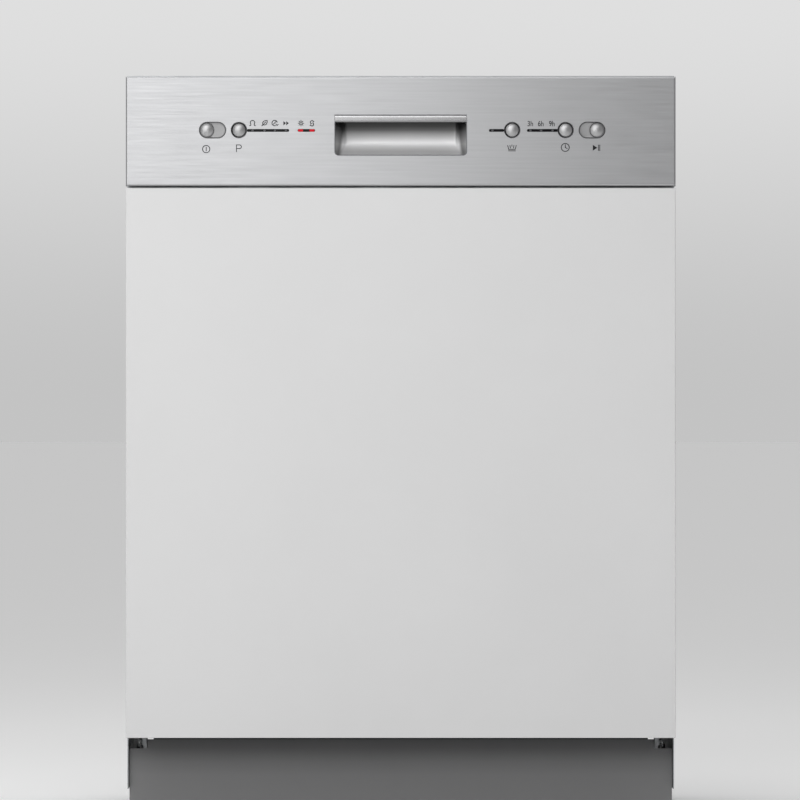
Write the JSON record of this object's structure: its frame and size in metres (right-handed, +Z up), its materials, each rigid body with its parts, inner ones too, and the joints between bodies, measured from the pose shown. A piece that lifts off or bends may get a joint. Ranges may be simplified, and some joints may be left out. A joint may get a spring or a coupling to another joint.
{
  "type": "built-in dishwasher",
  "caption": "Semi-integrated built-in dishwasher: brushed steel control fascia with recessed handle over a plain grey furniture front, dark toe space below.",
  "frame": {"origin": "on the floor, at the middle of the width and of the depth", "axes": "+Z up, the door and controls face -Y, +X is the right-hand side as seen from the front"},
  "size_m": [0.598, 0.57, 0.82],
  "materials": {
    "decor_laminate": "smooth satin light grey laminate",
    "fascia_steel": "brushed along the width",
    "lip_metal": "polished",
    "button_metal": "satin domed caps",
    "grey_plastic": "fine grain",
    "silver_plastic": "satin silver",
    "black_plastic": "fine grain",
    "black_window": "gloss",
    "red_lens": "translucent gloss",
    "circuit_board": "solder mask",
    "stainless_sheet": "bright annealed",
    "galvanised_sheet": "zinc coated",
    "galvanised_parts": "zinc plated",
    "screw_steel": "plain",
    "spring_steel": "oiled",
    "gasket_rubber": "matt",
    "felt": "needled felt",
    "white_plastic": "satin",
    "blue_grey_plastic": "satin",
    "coated_wire": "nylon coated wire",
    "arm_plastic": "satin",
    "toe_steel": "matt black"
  },
  "bodies": {
    "cabinet": {"tub": "stainless_sheet", "door_gasket": "gasket_rubber", "base_tray": "black_plastic", "side_panels": "galvanised_sheet", "rear_panel": "galvanised_sheet", "top_frame": "galvanised_sheet", "top_cover": "felt", "toe_plate": "toe_steel", "hinge_brackets": "galvanised_parts", "door_springs": "spring_steel", "sump": "grey_plastic", "spray_bearing": "grey_plastic", "filter_plate": "stainless_sheet", "softener": "white_plastic", "circulation_pump": "black_plastic", "rear_fittings": "white_plastic", "air_break": "white_plastic", "feed_pipe": "grey_plastic", "fixed_rails": "stainless_sheet"},
    "door": {"furniture_front": "decor_laminate", "control_fascia": "fascia_steel", "fascia_carrier": "black_plastic", "handle_cup": "silver_plastic", "handle_lip": "lip_metal", "button_bezels": "black_plastic", "display_windows": "black_window", "warning_lamps": "red_lens", "control_boards": "circuit_board", "door_pan": "galvanised_sheet", "door_liner": "stainless_sheet", "latch_housing": "black_plastic", "dispenser_housing": "grey_plastic", "hinge_arms": "galvanised_parts", "door_screws": "screw_steel"},
    "upper_basket": {"upper_rack": "coated_wire", "inner_rails": "stainless_sheet", "arm_conduit": "grey_plastic"},
    "lower_basket": {"lower_rack": "coated_wire", "wheel_carriers": "grey_plastic", "cutlery_basket": "blue_grey_plastic"},
    "power_button": {"power_button": "button_metal"},
    "programme_button": {"programme_button": "button_metal"},
    "half_load_button": {"half_load_button": "button_metal"},
    "delay_button": {"delay_button": "button_metal"},
    "start_button": {"start_button": "button_metal"},
    "dispenser_lid": {"dispenser_lid": "white_plastic"},
    "rinse_aid_cap": {"rinse_aid_cap": "blue_grey_plastic"},
    "filter_cylinder": {"filter_cylinder": "grey_plastic"},
    "salt_cap": {"salt_cap": "grey_plastic"},
    "pump_impeller": {"pump_impeller": "white_plastic"},
    "lower_spray_arm": {"lower_spray_arm": "arm_plastic"},
    "top_spray_arm": {"top_spray_arm": "arm_plastic"},
    "upper_spray_arm": {"upper_spray_arm": "arm_plastic"},
    "middle_rails": {"middle_rails": "stainless_sheet"},
    "front_wheels": {"front_wheels": "grey_plastic"},
    "rear_wheels": {"rear_wheels": "grey_plastic"},
    "front_left_foot": {"front_left_foot": "black_plastic"},
    "front_right_foot": {"front_right_foot": "black_plastic"},
    "rear_left_foot": {"rear_left_foot": "black_plastic"},
    "rear_right_foot": {"rear_right_foot": "black_plastic"}
  },
  "joints": [
    {"name": "door_hinge", "type": "hinge", "parent": "cabinet", "child": "door", "pos_m": [0, -0.245, 0.115], "axis": [1, 0, 0], "range_deg": [0, 90], "stiffness_Nm_per_rad": 28, "deforming": ["door_springs"]},
    {"name": "upper_basket_slide", "type": "slide", "parent": "cabinet", "child": "upper_basket", "axis": [0, -1, 0], "range_m": [0, 0.451]},
    {"name": "middle_rails_slide", "type": "slide", "parent": "cabinet", "child": "middle_rails", "axis": [0, -1, 0], "range_m": [0, 0.226]},
    {"name": "lower_basket_slide", "type": "slide", "parent": "cabinet", "child": "lower_basket", "axis": [0, -1, 0], "range_m": [0, 0.237]},
    {"name": "front_wheels_roll", "type": "hinge", "parent": "lower_basket", "child": "front_wheels", "pos_m": [0, -0.095, 0.1683], "axis": [1, 0, 0], "range_deg": [0, 752]},
    {"name": "rear_wheels_roll", "type": "hinge", "parent": "lower_basket", "child": "rear_wheels", "pos_m": [0, 0.2, 0.1683], "axis": [1, 0, 0], "range_deg": [0, 752]},
    {"name": "lower_arm_spin", "type": "hinge", "parent": "cabinet", "child": "lower_spray_arm", "pos_m": [0, 0.02, 0.16], "axis": [0, 0, 1], "continuous": true},
    {"name": "top_arm_spin", "type": "hinge", "parent": "cabinet", "child": "top_spray_arm", "pos_m": [0, 0.02, 0.78], "axis": [0, 0, 1], "continuous": true},
    {"name": "upper_arm_spin", "type": "hinge", "parent": "upper_basket", "child": "upper_spray_arm", "pos_m": [0, 0.02, 0.452], "axis": [0, 0, 1], "continuous": true},
    {"name": "power_press", "type": "slide", "parent": "door", "child": "power_button", "axis": [0, 1, 0], "range_m": [0, 0.0025], "stiffness_N_per_m": 400, "springref_m": -0.001},
    {"name": "programme_press", "type": "slide", "parent": "door", "child": "programme_button", "axis": [0, 1, 0], "range_m": [0, 0.0025], "stiffness_N_per_m": 400, "springref_m": -0.001},
    {"name": "half_load_press", "type": "slide", "parent": "door", "child": "half_load_button", "axis": [0, 1, 0], "range_m": [0, 0.0025], "stiffness_N_per_m": 400, "springref_m": -0.001},
    {"name": "delay_press", "type": "slide", "parent": "door", "child": "delay_button", "axis": [0, 1, 0], "range_m": [0, 0.0025], "stiffness_N_per_m": 400, "springref_m": -0.001},
    {"name": "start_press", "type": "slide", "parent": "door", "child": "start_button", "axis": [0, 1, 0], "range_m": [0, 0.0025], "stiffness_N_per_m": 400, "springref_m": -0.001},
    {"name": "dispenser_lid_slide", "type": "slide", "parent": "door", "child": "dispenser_lid", "axis": [0, 0, 1], "range_m": [0, 0.084]},
    {"name": "rinse_cap_turn", "type": "hinge", "parent": "door", "child": "rinse_aid_cap", "pos_m": [0.044, -0.22, 0.45], "axis": [0, 1, 0], "range_deg": [0, 90]},
    {"name": "filter_twist", "type": "hinge", "parent": "cabinet", "child": "filter_cylinder", "pos_m": [0, 0.125, 0.11], "axis": [0, 0, 1], "range_deg": [0, 60]},
    {"name": "salt_cap_turn", "type": "hinge", "parent": "cabinet", "child": "salt_cap", "pos_m": [-0.13, 0.135, 0.14], "axis": [0, 0, 1], "range_deg": [0, 180]},
    {"name": "impeller_spin", "type": "hinge", "parent": "cabinet", "child": "pump_impeller", "pos_m": [0, 0.2, 0.084], "axis": [0, 1, 0], "continuous": true},
    {"name": "front_left_foot_screw", "type": "slide", "parent": "cabinet", "child": "front_left_foot", "axis": [0, 0, -1], "range_m": [0, 0.05]},
    {"name": "front_right_foot_screw", "type": "slide", "parent": "cabinet", "child": "front_right_foot", "axis": [0, 0, -1], "range_m": [0, 0.05]},
    {"name": "rear_left_foot_screw", "type": "slide", "parent": "cabinet", "child": "rear_left_foot", "axis": [0, 0, -1], "range_m": [0, 0.05]},
    {"name": "rear_right_foot_screw", "type": "slide", "parent": "cabinet", "child": "rear_right_foot", "axis": [0, 0, -1], "range_m": [0, 0.05]}
  ],
  "couplings": [
    {"joint": "upper_basket_slide", "follows": "door_hinge", "m_per_rad": 0.2865},
    {"joint": "middle_rails_slide", "follows": "door_hinge", "m_per_rad": 0.14325},
    {"joint": "lower_basket_slide", "follows": "door_hinge", "m_per_rad": 0.15},
    {"joint": "front_wheels_roll", "follows": "door_hinge", "ratio": 8.3333},
    {"joint": "rear_wheels_roll", "follows": "door_hinge", "ratio": 8.3333}
  ]
}
